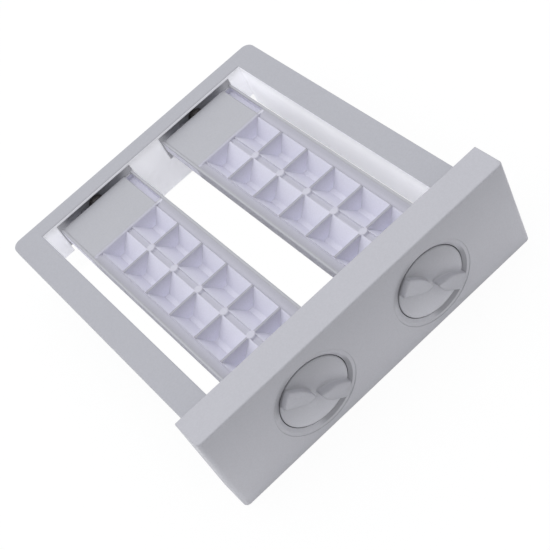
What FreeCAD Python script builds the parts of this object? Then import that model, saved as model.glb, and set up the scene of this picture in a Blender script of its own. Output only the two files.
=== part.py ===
import FreeCAD, Part
import math
import os

# Twist ice maker: a frame with a front panel, two twelve-cell trays that turn about
# their long axes, and a knob in the panel for each tray.
# Millimetres. X runs across the front, Y runs from the front panel to the rear wall, Z is up.
# The parts are drawn with Y = 0 on the front panel's face and Z = 0 on the surface it stands
# on, and are moved at the end so that the origin is the middle of the footprint.

# Front panel
PANEL_WIDTH = 250.0
PANEL_HEIGHT = 75.0
PANEL_DEPTH = 24.5
PANEL_WALL = 2.4
PANEL_CORNER_RADIUS = 3.5
PANEL_EDGE_RADIUS = 1.2

# Knobs, each in a dished well just below the middle of the panel
AXIS_BELOW_MIDDLE = 1.8
CUP_MARGIN = 2.9
CUP_RIM_WIDTH = 2.0
HALO_WIDTH = 2.3
HALO_DEPTH = 0.3
DISH_WIDTH = 3.0
CUP_DEPTH = 11.2
CUP_FLOOR = 2.4
KNOB_THICKNESS = 5.0
KNOB_SETBACK = 1.5
KNOB_GAP = 0.55
KNOB_EDGE_RADIUS = 0.5
KNOB_HOLLOW = 1.2
KNOB_RIM_LAND = 1.2
KNOB_HUB_RADIUS = 10.0
WING_HEIGHT = 6.0
WING_HALF_WIDTH = 5.8
WING_TIP_RADIUS = 2.4
WING_TIP_HALF_WIDTH = 0.5
WING_NOSE_LENGTH = 17.0
WING_BEND_SHARE = 0.42
WING_BEND_FILL = 0.74
WING_CROWN_RADIUS = 9.0
WING_ARCH_RADIUS = 52.0
WING_PEAK_RADIUS = 13.0
WING_RIM_GAP = 0.3
WING_ANGLE = 42.0

# Frame
FRAME_INSET = 7.0
FRAME_BACK = 279.5
FLANGE_ABOVE_RIM = 6.3
FLANGE_THICKNESS = 2.4
FLANGE_SIDE_WIDTH = 21.0
FLANGE_BACK_WIDTH = 14.8
FLANGE_CORNER_RADIUS = 7.0
FLANGE_EDGE_RADIUS = 1.0
LIP_DROP = 6.0
LIP_THICKNESS = 1.8
SKIRT_THICKNESS = 2.4
SIDE_SKIRT_BOTTOM = 10.0
REAR_SKIRT_BOTTOM = 18.0
FRONT_WALL_THICKNESS = 3.2
FRONT_WALL_BOTTOM = 2.0
RECESS_DEPTH = 6.6
RECESS_SIDE_GAP = 0.8
FOOT_HALF = 30.0
FOOT_HEIGHT = 23.0

# Trays. Turning over, a tray's rims pass this far above the surface the unit stands on
TURNING_CLEARANCE = 0.72
SIDE_SLOT_SHARE = 0.457
TRAY_END_GAP = 1.5
RIM_ABOVE_CELLS = 1.4
RIM_THICKNESS = 2.2
RIM_DEPTH = 9.0
RIM_EDGE_RADIUS = 0.8
TRAY_WALL = 1.5
CELLS_ABOVE_AXIS = 4.8
CELL_ROWS = 6
CELL_RIDGE = 2.0
CELL_INNER_EDGE = 2.2
CELL_FLOOR_SHARE = 0.56
CELL_FLOOR_WIDTH = 4.0
CELL_DEPTH = 12.5
CELL_END_DRAFT = 1.6
FRONT_SHELF = 2.6
SHOULDER_WIDTH = 6.5
SHOULDER_DROP = 1.5
SHOULDER_RISE = 2.3
KNOT_BASE_RADIUS = 5.6
KNOT_TOP_RADIUS = 2.9
KNOT_DEPTH = 5.0
SADDLE_DEPTH = 1.6
DECK_LENGTH = 46.2
DECK_RISE = 1.0
DECK_EDGE_RADIUS = 2.0
DECK_GROOVE_WIDTH = 5.4
DECK_GROOVE_DEPTH = 4.0

# Drive and pivots
SPINDLE_RADIUS = 6.0
SPINDLE_FRONT = 6.6
SPINDLE_SQUARE = 8.2
SQUARE_CLEARANCE = 0.02
BUSH_WALL = 2.0
BUSH_FLANGE_RADIUS = 10.5
BUSH_FLANGE_THICKNESS = 1.2
BUSH_PROUD = 4.0
RUNNING_CLEARANCE = 0.05
PART_GAP = 0.3
FRONT_BOSS_RADIUS = 9.5
FRONT_BOSS_LENGTH = 2.4
WASHER_THICKNESS = 0.5
PIN_RADIUS = 2.0
PIN_GRIP = 16.0
PIN_CHAMFER = 0.4
PIN_BOSS_RADIUS = 5.0
REAR_BUSH_WALL = 1.0
REAR_BOSS_RADIUS = 4.7
REAR_BUSH_FLANGE_THICKNESS = 0.8
CLIP_RADIUS = 4.2
CLIP_THICKNESS = 0.8
CLIP_OPENING = 2.4
PIN_TAIL = 1.4

# Return spring: a torsion spring round the rear bearing boss
SPRING_WIRE = 1.3
SPRING_MEAN_RADIUS = 5.9
SPRING_HALF_TURNS = 5
SPRING_PITCH = 1.75
SPRING_LEG = 10.0
SPRING_END_GAP = 0.3
SPRING_PEG_WIDTH = 2.0
SPRING_PEG_HEIGHT = 1.6
SPRING_REST_GAP = 0.1

# Tray stops
STOP_INNER_RADIUS = 10.5
STOP_OUTER_RADIUS = 14.5
STOP_LUG_REACH = 3.6
STOP_OVERLAP = 1.4
STOP_LUG_SPREAD = 16.0
STOP_BLOCK_SPREAD = 14.0
TRAY_TRAVEL = 120.0
STOP_CLEARANCE_ANGLE = 0.4

# Panel screws
SCREW_RADIUS = 1.5
SCREW_LENGTH = 9.0
SCREW_HEAD_RADIUS = 3.0
SCREW_HEAD_HEIGHT = 2.0
SCREW_CLEARANCE = 0.2
SCREW_BOSS_RADIUS = 4.0
SCREW_INSET = 9.0
SCREW_LOW_ROW = 11.0
SCREW_HIGH_ROW_ABOVE_AXIS = 0.5
SCREW_RECESS_RADIUS = 1.2
SCREW_RECESS_DEPTH = 0.9

# Derived values
EPS = 0.01
AXIS_HEIGHT = PANEL_HEIGHT / 2 - AXIS_BELOW_MIDDLE
CUP_WALL_RADIUS = AXIS_HEIGHT - CUP_MARGIN
HALO_RADIUS = CUP_WALL_RADIUS - CUP_RIM_WIDTH
DISH_RADIUS = HALO_RADIUS - HALO_WIDTH
KNOB_RADIUS = DISH_RADIUS - DISH_WIDTH
KNOB_BACK = KNOB_SETBACK + KNOB_THICKNESS
KNOB_HUB_BACK = CUP_DEPTH - WASHER_THICKNESS - PART_GAP
DISH_DEPTH = KNOB_SETBACK + KNOB_EDGE_RADIUS
WING_FRONT = KNOB_SETBACK - WING_HEIGHT
CELL_TOP = AXIS_HEIGHT + CELLS_ABOVE_AXIS
CELL_FLOOR = CELL_TOP - CELL_DEPTH
RIM_TOP = CELL_TOP + RIM_ABOVE_CELLS
RIM_BOTTOM = CELL_TOP - RIM_DEPTH
FRAME_TOP = RIM_TOP + FLANGE_ABOVE_RIM
FLANGE_UNDER = FRAME_TOP - FLANGE_THICKNESS
TRAY_HALF = math.sqrt((AXIS_HEIGHT - TURNING_CLEARANCE) ** 2 - (RIM_TOP - AXIS_HEIGHT) ** 2)
RIM_INNER = TRAY_HALF - RIM_THICKNESS
CELL_OUTER_EDGE = RIM_INNER - SHOULDER_WIDTH
CELL_FLOOR_CENTRE = CELL_INNER_EDGE + CELL_FLOOR_SHARE * (CELL_OUTER_EDGE - CELL_INNER_EDGE)
CELL_FLOOR_INNER = CELL_FLOOR_CENTRE - CELL_FLOOR_WIDTH / 2
CELL_FLOOR_OUTER = CELL_FLOOR_CENTRE + CELL_FLOOR_WIDTH / 2
DECK_TOP = CELL_TOP + DECK_RISE
DECK_RIGHT = RIM_INNER - DECK_GROOVE_WIDTH
GROOVE_FLOOR = CELL_TOP - DECK_GROOVE_DEPTH
FRAME_HALF = PANEL_WIDTH / 2 - FRAME_INSET
OPENING_HALF = FRAME_HALF - FLANGE_SIDE_WIDTH
OPENING_BACK = FRAME_BACK - FLANGE_BACK_WIDTH
RECESS_BACK = OPENING_BACK + RECESS_DEPTH
FREE_HALF_WIDTH = OPENING_HALF - 2 * TRAY_HALF
HALF_SPACING = TRAY_HALF + (1 - SIDE_SLOT_SHARE) * FREE_HALF_WIDTH
RECESS_HALF = TRAY_HALF + RECESS_SIDE_GAP
PIER_HALF = HALF_SPACING - RECESS_HALF
FRONT_WALL_BACK = PANEL_DEPTH + FRONT_WALL_THICKNESS
BUSH_FLANGE_BACK = FRONT_WALL_BACK + BUSH_FLANGE_THICKNESS
FRONT_BOSS_FRONT = BUSH_FLANGE_BACK + PART_GAP
TRAY_FRONT = FRONT_BOSS_FRONT + FRONT_BOSS_LENGTH
TRAY_BACK = OPENING_BACK - TRAY_END_GAP
LAST_CELL_BACK = TRAY_BACK - DECK_LENGTH
FIRST_CELL_FRONT = TRAY_FRONT + RIM_THICKNESS + FRONT_SHELF
CELL_PITCH = (LAST_CELL_BACK + CELL_RIDGE - FIRST_CELL_FRONT) / CELL_ROWS
CELL_LENGTH = CELL_PITCH - CELL_RIDGE
SOCKET_BACK = FIRST_CELL_FRONT - TRAY_WALL
SPINDLE_BORE = SPINDLE_RADIUS + RUNNING_CLEARANCE
BUSH_RADIUS = SPINDLE_BORE + BUSH_WALL
REAR_BUSH_BORE = PIN_RADIUS + RUNNING_CLEARANCE
REAR_BUSH_RADIUS = REAR_BUSH_BORE + REAR_BUSH_WALL
LUG_REACH_TO_LEG = SPRING_MEAN_RADIUS + SPRING_WIRE / 2 + SPRING_REST_GAP
LUG_LOW_ANGLE = -math.degrees(math.acos(LUG_REACH_TO_LEG / STOP_INNER_RADIUS))
LUG_HIGH_ANGLE = LUG_LOW_ANGLE + STOP_LUG_SPREAD
REAR_BOSS_BACK = FRAME_BACK - LIP_THICKNESS - CLIP_THICKNESS - PIN_TAIL - 2 * PART_GAP
MIDDLE_Y = (WING_FRONT + FRAME_BACK) / 2

X_AXIS = FreeCAD.Vector(1, 0, 0)
Y_AXIS = FreeCAD.Vector(0, 1, 0)
Z_AXIS = FreeCAD.Vector(0, 0, 1)


def vec(x, y, z):
    return FreeCAD.Vector(x, y, z)


def box(x0, x1, y0, y1, z0, z1):
    return Part.makeBox(x1 - x0, y1 - y0, z1 - z0, vec(x0, y0, z0))


def rod(radius, y0, y1, x=0.0, z=AXIS_HEIGHT):
    return Part.makeCylinder(radius, y1 - y0, vec(x, y0, z), Y_AXIS)


def tube(inner, outer, y0, y1, x=0.0, z=AXIS_HEIGHT):
    return rod(outer, y0, y1, x, z).cut(rod(inner, y0 - 1, y1 + 1, x, z))


def fuse(shapes):
    first, rest = shapes[0], shapes[1:]
    return first.fuse(rest).removeSplitter() if rest else first


def prism_y(points, y0, y1):
    """A prism along Y from a polygon of (x, z) points."""
    corners = [vec(x, y0, z) for x, z in points]
    face = Part.Face(Part.makePolygon(corners + corners[:1]))
    return face.extrude(vec(0, y1 - y0, 0))


def frustum(lower, upper, z0, z1):
    """A solid between two rectangles (x0, x1, y0, y1), the lower at z0 and the upper at z1."""
    wires = []
    for (x0, x1, y0, y1), z in ((lower, z0), (upper, z1)):
        corners = [vec(x0, y0, z), vec(x1, y0, z), vec(x1, y1, z), vec(x0, y1, z)]
        wires.append(Part.makePolygon(corners + corners[:1]))
    return Part.makeLoft(wires, True, True)


def edges_where(shape, test):
    return [edge for edge in shape.Edges if test(edge)]


def straight_along(edge, axis):
    if not isinstance(edge.Curve, (Part.Line, Part.LineSegment)):
        return False
    ends = [vertex.Point for vertex in edge.Vertexes]
    run = ends[1] - ends[0]
    return run.cross(axis).Length < EPS * run.Length


def rounded_outline(half_width, y0, y1, radius):
    """The closed outline in the XY plane with square front corners and round back corners."""
    bend = radius * (1 - math.cos(math.pi / 4))
    right_end = vec(half_width, y1 - radius, 0)
    right_mid = vec(half_width - bend, y1 - bend, 0)
    right_top = vec(half_width - radius, y1, 0)
    left_top = vec(radius - half_width, y1, 0)
    left_mid = vec(bend - half_width, y1 - bend, 0)
    left_end = vec(-half_width, y1 - radius, 0)
    front_left = vec(-half_width, y0, 0)
    front_right = vec(half_width, y0, 0)
    edges = [
        Part.makeLine(front_right, right_end),
        Part.Arc(right_end, right_mid, right_top).toShape(),
        Part.makeLine(right_top, left_top),
        Part.Arc(left_top, left_mid, left_end).toShape(),
        Part.makeLine(left_end, front_left),
        Part.makeLine(front_left, front_right),
    ]
    return Part.Wire(edges)


def rounded_slab(half_width, y0, y1, radius, z0, z1):
    face = Part.Face(rounded_outline(half_width, y0, y1, radius))
    face.translate(vec(0, 0, z0))
    return face.extrude(vec(0, 0, z1 - z0))


def screw_sites():
    outer = FRAME_HALF - SCREW_INSET
    rows = (SCREW_LOW_ROW, AXIS_HEIGHT + SCREW_HIGH_ROW_ABOVE_AXIS)
    return [(x, z) for x in (-outer, 0, outer) for z in rows]


def front_panel():
    half = PANEL_WIDTH / 2
    shell = box(-half, half, 0, PANEL_DEPTH, 0, PANEL_HEIGHT)
    corners = edges_where(
        shell, lambda e: straight_along(e, Z_AXIS) and e.CenterOfMass.y < PANEL_DEPTH / 2
    )
    shell = shell.makeFillet(PANEL_CORNER_RADIUS, corners)
    top = edges_where(shell, lambda e: e.BoundBox.ZMin > PANEL_HEIGHT - EPS)
    top = [e for e in top if e.CenterOfMass.y < PANEL_DEPTH - EPS]
    shell = shell.makeFillet(PANEL_EDGE_RADIUS, top)
    inner = half - PANEL_WALL
    hollow = box(-inner, inner, PANEL_WALL, PANEL_DEPTH + 1, -1, PANEL_HEIGHT - PANEL_WALL)
    adds = []
    for side in (-1, 1):
        x = side * HALF_SPACING
        adds.append(rod(CUP_WALL_RADIUS, PANEL_WALL / 2, CUP_DEPTH + CUP_FLOOR, x))
    for x, z in screw_sites():
        adds.append(rod(SCREW_BOSS_RADIUS, PANEL_WALL / 2, PANEL_DEPTH, x, z))
    panel = fuse([shell.cut(hollow)] + adds)
    for side in (-1, 1):
        x = side * HALF_SPACING
        well = KNOB_RADIUS + KNOB_GAP
        panel = panel.cut(rod(HALO_RADIUS, -1, HALO_DEPTH, x))
        dish = Part.makeCone(
            DISH_RADIUS, well, DISH_DEPTH - HALO_DEPTH, vec(x, HALO_DEPTH, AXIS_HEIGHT), Y_AXIS
        )
        panel = panel.cut(dish)
        panel = panel.cut(rod(well, DISH_DEPTH - EPS, CUP_DEPTH, x))
        panel = panel.cut(rod(SPINDLE_RADIUS + PART_GAP, 0, PANEL_DEPTH, x))
    for x, z in screw_sites():
        panel = panel.cut(rod(SCREW_RADIUS, PANEL_DEPTH - SCREW_LENGTH, PANEL_DEPTH + 1, x, z))
    return panel


def panel_screws():
    screws = []
    head_front = FRONT_WALL_BACK
    tip = head_front - FRONT_WALL_THICKNESS - SCREW_LENGTH + PART_GAP
    for x, z in screw_sites():
        head = rod(SCREW_HEAD_RADIUS, head_front, head_front + SCREW_HEAD_HEIGHT, x, z)
        rim = edges_where(head, lambda e: e.BoundBox.YMin > head_front + SCREW_HEAD_HEIGHT - EPS)
        head = head.makeFillet(SCREW_HEAD_HEIGHT / 2, rim)
        screw = head.fuse(rod(SCREW_RADIUS, tip, head_front + EPS, x, z))
        for turn in (0, 90):
            slot = box(
                x - SCREW_RECESS_RADIUS, x + SCREW_RECESS_RADIUS,
                head_front + SCREW_HEAD_HEIGHT - SCREW_RECESS_DEPTH,
                head_front + SCREW_HEAD_HEIGHT + 1,
                z - SCREW_RECESS_RADIUS / 4, z + SCREW_RECESS_RADIUS / 4,
            )
            slot.rotate(vec(x, 0, z), Y_AXIS, turn)
            screw = screw.cut(slot)
        screws.append(screw)
    return Part.makeCompound(screws)


def recess_span(side):
    centre = side * HALF_SPACING
    return centre - RECESS_HALF, centre + RECESS_HALF


def sector(radius_in, radius_out, angle0, angle1, y0, y1, x):
    """A ring sector about a tray axis. Angles are degrees from +X towards +Z."""
    ring = tube(radius_in, radius_out, y0, y1, x)
    reach = radius_out * 3
    points = [(x, AXIS_HEIGHT)]
    for angle in (angle0, (angle0 + angle1) / 2, angle1):
        turn = math.radians(angle)
        points.append((x + reach * math.cos(turn), AXIS_HEIGHT + reach * math.sin(turn)))
    return ring.common(prism_y(points, y0, y1))


def stop_blocks(x):
    """The two blocks that the tray's lug meets: one at rest, one with the tray turned over."""
    rest = LUG_HIGH_ANGLE + STOP_CLEARANCE_ANGLE
    end = LUG_LOW_ANGLE - TRAY_TRAVEL - STOP_CLEARANCE_ANGLE
    front = TRAY_BACK + STOP_LUG_REACH - STOP_OVERLAP
    spans = ((rest, rest + STOP_BLOCK_SPREAD), (end - STOP_BLOCK_SPREAD, end))
    return [
        sector(STOP_INNER_RADIUS, STOP_OUTER_RADIUS, low, high, front, RECESS_BACK + 1, x)
        for low, high in spans
    ]


def spring_peg(x):
    """The peg on the rear wall that the spring's fixed leg leans on, at the left of the leg."""
    x1 = x - SPRING_MEAN_RADIUS - SPRING_WIRE / 2 - SPRING_REST_GAP
    z0 = AXIS_HEIGHT - SPRING_LEG
    y0 = spring_wire_y(SPRING_HALF_TURNS) - SPRING_WIRE
    return box(x1 - SPRING_PEG_WIDTH, x1, y0, RECESS_BACK + 1, z0, z0 + SPRING_PEG_HEIGHT)


def rear_foot():
    """The wide hollow foot in the middle of the rear wall. It is open at its back and below."""
    back = RECESS_BACK + SKIRT_THICKNESS
    inner = FOOT_HALF - SKIRT_THICKNESS
    block = box(-FOOT_HALF, FOOT_HALF, OPENING_BACK, back, 0, FOOT_HEIGHT)
    hollow = box(-inner, inner, OPENING_BACK + SKIRT_THICKNESS, back + 1, -1,
                 FOOT_HEIGHT - SKIRT_THICKNESS)
    return block.cut(hollow)


def frame_body():
    flange = rounded_slab(FRAME_HALF, PANEL_DEPTH, FRAME_BACK, FLANGE_CORNER_RADIUS,
                          FRAME_TOP - LIP_DROP, FRAME_TOP)
    crown = edges_where(flange, lambda e: e.BoundBox.ZMin > FRAME_TOP - EPS)
    crown = [e for e in crown if e.CenterOfMass.y > PANEL_DEPTH + EPS]
    flange = flange.makeFillet(FLANGE_EDGE_RADIUS, crown)
    under = rounded_slab(
        FRAME_HALF - LIP_THICKNESS, PANEL_DEPTH - 1, FRAME_BACK - LIP_THICKNESS,
        FLANGE_CORNER_RADIUS - LIP_THICKNESS, 0, FLANGE_UNDER,
    )
    flange = flange.cut(under)
    opening = box(-OPENING_HALF, OPENING_HALF, FRONT_WALL_BACK, OPENING_BACK, 0, FRAME_TOP + 1)
    flange = flange.cut(opening)
    inner = edges_where(flange, lambda e: (
        e.BoundBox.ZMin > FRAME_TOP - EPS
        and abs(e.CenterOfMass.x) < OPENING_HALF + EPS
        and FRONT_WALL_BACK + EPS < e.CenterOfMass.y < OPENING_BACK + EPS
    ))
    flange = flange.makeFillet(FLANGE_EDGE_RADIUS, inner)

    outer = OPENING_HALF + SKIRT_THICKNESS
    top = FLANGE_UNDER + FLANGE_THICKNESS / 4
    adds = []
    for side in (-1, 1):
        x0, x1 = sorted((side * OPENING_HALF, side * outer))
        adds.append(box(x0, x1, PANEL_DEPTH, OPENING_BACK, SIDE_SKIRT_BOTTOM, top))
    adds.append(box(-FRAME_HALF, FRAME_HALF, PANEL_DEPTH, FRONT_WALL_BACK, FRONT_WALL_BOTTOM, top))
    adds.append(box(-outer, outer, OPENING_BACK, OPENING_BACK + SKIRT_THICKNESS,
                    REAR_SKIRT_BOTTOM, top))
    adds.append(box(-PIER_HALF, PIER_HALF, OPENING_BACK, RECESS_BACK + SKIRT_THICKNESS, 0, top))
    for side in (-1, 1):
        x0, x1 = recess_span(side)
        adds.append(box(x0 - SKIRT_THICKNESS, x1 + SKIRT_THICKNESS, OPENING_BACK,
                        RECESS_BACK + SKIRT_THICKNESS, REAR_SKIRT_BOTTOM, top))
    frame = fuse([flange] + adds)
    inner = PIER_HALF - SKIRT_THICKNESS
    frame = frame.cut(box(-inner, inner, OPENING_BACK + SKIRT_THICKNESS,
                          RECESS_BACK + SKIRT_THICKNESS + 1, -1, FLANGE_UNDER))
    for side in (-1, 1):
        x0, x1 = recess_span(side)
        frame = frame.cut(box(x0, x1, OPENING_BACK - 1, RECESS_BACK, 0, FLANGE_UNDER))
    adds = [rear_foot()]
    for side in (-1, 1):
        x = side * HALF_SPACING
        adds.append(rod(REAR_BOSS_RADIUS, TRAY_BACK + SPRING_END_GAP + REAR_BUSH_FLANGE_THICKNESS,
                        REAR_BOSS_BACK, x))
        adds.extend(stop_blocks(x))
        adds.append(spring_peg(x))
    frame = fuse([frame] + adds)
    for side in (-1, 1):
        x = side * HALF_SPACING
        frame = frame.cut(rod(BUSH_RADIUS, PANEL_DEPTH - 1, FRONT_WALL_BACK + 1, x))
        frame = frame.cut(rod(REAR_BUSH_RADIUS, TRAY_BACK, FRAME_BACK, x))
    for x, z in screw_sites():
        frame = frame.cut(rod(SCREW_RADIUS + SCREW_CLEARANCE, PANEL_DEPTH - 1,
                              FRONT_WALL_BACK + 1, x, z))
    return frame


def wing_outline():
    """The plan of a wing: a blunt tip by the knob's centre, two curved flanks, a square end."""
    tip, full, end = WING_TIP_RADIUS, WING_TIP_RADIUS + WING_NOSE_LENGTH, KNOB_RADIUS + 1
    bend = tip + WING_BEND_SHARE * WING_NOSE_LENGTH
    half, fill = WING_HALF_WIDTH, WING_BEND_FILL * WING_HALF_WIDTH
    y = WING_FRONT - 1
    nose_low, nose_high = vec(tip, y, -WING_TIP_HALF_WIDTH), vec(tip, y, WING_TIP_HALF_WIDTH)
    return Part.Wire([
        Part.Arc(nose_low, vec(bend, y, -fill), vec(full, y, -half)).toShape(),
        Part.makeLine(vec(full, y, -half), vec(end, y, -half)),
        Part.makeLine(vec(end, y, -half), vec(end, y, half)),
        Part.makeLine(vec(end, y, half), vec(full, y, half)),
        Part.Arc(vec(full, y, half), vec(bend, y, fill), nose_high).toShape(),
        Part.makeLine(nose_high, nose_low),
    ])


def wing(x):
    """One raised wing of the knob's grip, drawn towards +X, with a crowned and arched top."""
    blade = Part.Face(wing_outline()).extrude(vec(0, KNOB_BACK - WING_FRONT, 0))
    blade = blade.common(rod(KNOB_RADIUS - WING_RIM_GAP, WING_FRONT - 1, KNOB_BACK, 0, 0))
    crown = Part.makeCylinder(
        WING_CROWN_RADIUS, KNOB_RADIUS + 2, vec(-1, WING_FRONT + WING_CROWN_RADIUS, 0), X_AXIS
    )
    arch = Part.makeCylinder(
        WING_ARCH_RADIUS, 4 * WING_HALF_WIDTH,
        vec(WING_PEAK_RADIUS, WING_FRONT + WING_ARCH_RADIUS, -2 * WING_HALF_WIDTH), Z_AXIS
    )
    blade = blade.common(crown).common(arch)
    blade.translate(vec(x, 0, AXIS_HEIGHT))
    return blade


def knob(x):
    disc = rod(KNOB_RADIUS, KNOB_SETBACK, KNOB_BACK, x)
    front = edges_where(disc, lambda e: e.BoundBox.YMax < KNOB_SETBACK + EPS)
    disc = disc.makeFillet(KNOB_EDGE_RADIUS, front)
    bowl = KNOB_RADIUS - KNOB_RIM_LAND
    ball = (bowl ** 2 + KNOB_HOLLOW ** 2) / (2 * KNOB_HOLLOW)
    disc = disc.cut(Part.makeSphere(ball, vec(x, KNOB_SETBACK + KNOB_HOLLOW - ball, AXIS_HEIGHT)))
    pieces = [disc, rod(KNOB_HUB_RADIUS, KNOB_BACK - EPS, KNOB_HUB_BACK, x)]
    for turn in (WING_ANGLE, WING_ANGLE + 180):
        blade = wing(x)
        blade.rotate(vec(x, 0, AXIS_HEIGHT), Y_AXIS, turn)
        pieces.append(blade)
    body = fuse(pieces)
    socket = SPINDLE_SQUARE + SQUARE_CLEARANCE
    return body.cut(square_bar(x, SPINDLE_FRONT, KNOB_HUB_BACK + 1, socket))


def square_bar(x, y0, y1, side):
    half = side / 2
    return box(x - half, x + half, y0, y1, AXIS_HEIGHT - half, AXIS_HEIGHT + half)


def spindle(x):
    round_part = rod(SPINDLE_RADIUS, KNOB_HUB_BACK, FRONT_BOSS_FRONT, x)
    front_square = square_bar(x, SPINDLE_FRONT, KNOB_HUB_BACK + EPS, SPINDLE_SQUARE)
    rear_square = square_bar(x, FRONT_BOSS_FRONT - EPS, SOCKET_BACK - PART_GAP, SPINDLE_SQUARE)
    return fuse([round_part, front_square, rear_square])


def knob_washer(x):
    inner = SPINDLE_RADIUS + PART_GAP
    return tube(inner, KNOB_HUB_RADIUS, CUP_DEPTH - WASHER_THICKNESS, CUP_DEPTH, x)


def front_bush(x):
    sleeve = rod(BUSH_RADIUS, PANEL_DEPTH - BUSH_PROUD, FRONT_WALL_BACK, x)
    collar = rod(BUSH_FLANGE_RADIUS, FRONT_WALL_BACK, BUSH_FLANGE_BACK, x)
    return sleeve.fuse(collar).cut(rod(SPINDLE_BORE, 0, TRAY_FRONT, x)).removeSplitter()


def rear_bush(x):
    front = TRAY_BACK + SPRING_END_GAP
    collar = rod(REAR_BOSS_RADIUS, front, front + REAR_BUSH_FLANGE_THICKNESS, x)
    sleeve = rod(REAR_BUSH_RADIUS, front, REAR_BOSS_BACK, x)
    return sleeve.fuse(collar).cut(rod(REAR_BUSH_BORE, front - 1, FRAME_BACK, x)).removeSplitter()


def pivot_pin(x):
    pin = rod(PIN_RADIUS, TRAY_BACK - PIN_GRIP, REAR_BOSS_BACK + CLIP_THICKNESS + PIN_TAIL, x)
    ends = edges_where(pin, lambda e: isinstance(e.Curve, Part.Circle))
    return pin.makeChamfer(PIN_CHAMFER, ends)


def pin_clip(x):
    y0 = REAR_BOSS_BACK + PART_GAP
    ring = tube(PIN_RADIUS, CLIP_RADIUS, y0, y0 + CLIP_THICKNESS, x)
    half = CLIP_OPENING / 2
    gap = box(x - half, x + half, y0 - 1, y0 + CLIP_THICKNESS + 1,
              AXIS_HEIGHT, AXIS_HEIGHT + CLIP_RADIUS + 1)
    return ring.cut(gap)


def spring_wire_y(half_turns):
    """Y of the wire's centre after a number of half turns."""
    return TRAY_BACK + SPRING_END_GAP + SPRING_WIRE / 2 + SPRING_PITCH * half_turns / 2


def coil_point(x, half_turns):
    """A point of the wire's centre line. It starts at the right and rises over the top."""
    turn = math.pi * half_turns
    return vec(x + SPRING_MEAN_RADIUS * math.cos(turn), spring_wire_y(half_turns),
               AXIS_HEIGHT + SPRING_MEAN_RADIUS * math.sin(turn))


def coil_gap(x):
    """The least gap between neighbouring turns, measured on points along the wire."""
    steps = SPRING_HALF_TURNS * 24
    points = [coil_point(x, i / 24) for i in range(steps + 1)]
    apart = [a.distanceToPoint(b) for i, a in enumerate(points) for b in points[i + 24:]]
    return min(apart) - SPRING_WIRE


def coil_heading(half_turns):
    """The wire's direction. It is upright where a straight leg starts."""
    turn = math.pi * half_turns
    at_leg = half_turns in (0, SPRING_HALF_TURNS)
    climb = 0 if at_leg else SPRING_PITCH / (2 * math.pi)
    heading = vec(-SPRING_MEAN_RADIUS * math.sin(turn), climb, SPRING_MEAN_RADIUS * math.cos(turn))
    return heading.normalize()


def arc_between(start, corner, end):
    """The arc that leaves start and reaches end along the two lines through corner."""
    weight = (end - start).Length / 2 / (corner - start).Length
    middle = (start + corner * (2 * weight) + end) * (1 / (2 + 2 * weight))
    return Part.Arc(start, middle, end).toShape()


def biarc(start, start_heading, end, end_heading):
    """Two arcs that join two points smoothly along the given headings."""
    span = end - start
    square = 2 * (1 - start_heading.dot(end_heading))
    linear = 2 * span.dot(start_heading + end_heading)
    root = math.sqrt(linear ** 2 + 4 * square * span.dot(span))
    reach = (root - linear) / (2 * square)
    first_corner = start + start_heading * reach
    second_corner = end - end_heading * reach
    meeting = (first_corner + second_corner) * 0.5
    return [arc_between(start, first_corner, meeting), arc_between(meeting, second_corner, end)]


def torsion_spring(x):
    first, last = coil_point(x, 0), coil_point(x, SPRING_HALF_TURNS)
    drop = vec(0, 0, -SPRING_LEG)
    path = [Part.makeLine(first + drop, first)]
    for quarter in range(SPRING_HALF_TURNS * 2):
        here, there = quarter / 2, (quarter + 1) / 2
        path += biarc(coil_point(x, here), coil_heading(here),
                      coil_point(x, there), coil_heading(there))
    path.append(Part.makeLine(last, last + drop))
    ring = Part.Wire(Part.makeCircle(SPRING_WIRE / 2, first + drop, Z_AXIS))
    print("spring gap between turns", round(coil_gap(x), 3))
    return Part.Wire(path).makePipeShell([ring], True, False)


def tray_cells(side_sign):
    """Cell cutters of one column, drawn about a tray axis at X = 0."""
    cutters = []
    x_in, x_out = sorted((side_sign * CELL_INNER_EDGE, side_sign * CELL_OUTER_EDGE))
    f_in, f_out = sorted((side_sign * CELL_FLOOR_INNER, side_sign * CELL_FLOOR_OUTER))
    for row in range(CELL_ROWS):
        back = LAST_CELL_BACK - row * CELL_PITCH
        front = back - CELL_LENGTH
        upper = (x_in, x_out, front, back)
        lower = (f_in, f_out, front + CELL_END_DRAFT, back - CELL_END_DRAFT)
        cutters.append((lower, upper))
    return cutters


def rim_bar(x0, x1, y0, y1, along):
    """One bar of the tray's rim, round along both of its upper edges."""
    bar = box(x0, x1, y0, y1, RIM_BOTTOM, RIM_TOP)
    crown = edges_where(bar, lambda e: e.BoundBox.ZMin > RIM_TOP - EPS and straight_along(e, along))
    return bar.makeFillet(RIM_EDGE_RADIUS, crown)


def saddles():
    """Cutters that lower the middle ridge between the knots."""
    cutters = []
    for row in range(CELL_ROWS):
        back = LAST_CELL_BACK - row * CELL_PITCH
        cutters.append(box(-CELL_INNER_EDGE, CELL_INNER_EDGE, back - CELL_LENGTH, back,
                           CELL_TOP - SADDLE_DEPTH, CELL_TOP + 1))
    return Part.makeCompound(cutters)


def knots():
    """The round lumps where the ridges cross."""
    lumps = []
    for row in range(1, CELL_ROWS):
        y = LAST_CELL_BACK - row * CELL_PITCH + CELL_RIDGE / 2
        lumps.append(Part.makeCone(KNOT_BASE_RADIUS, KNOT_TOP_RADIUS, KNOT_DEPTH,
                                   vec(0, y, CELL_TOP - KNOT_DEPTH)))
    return lumps


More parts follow.
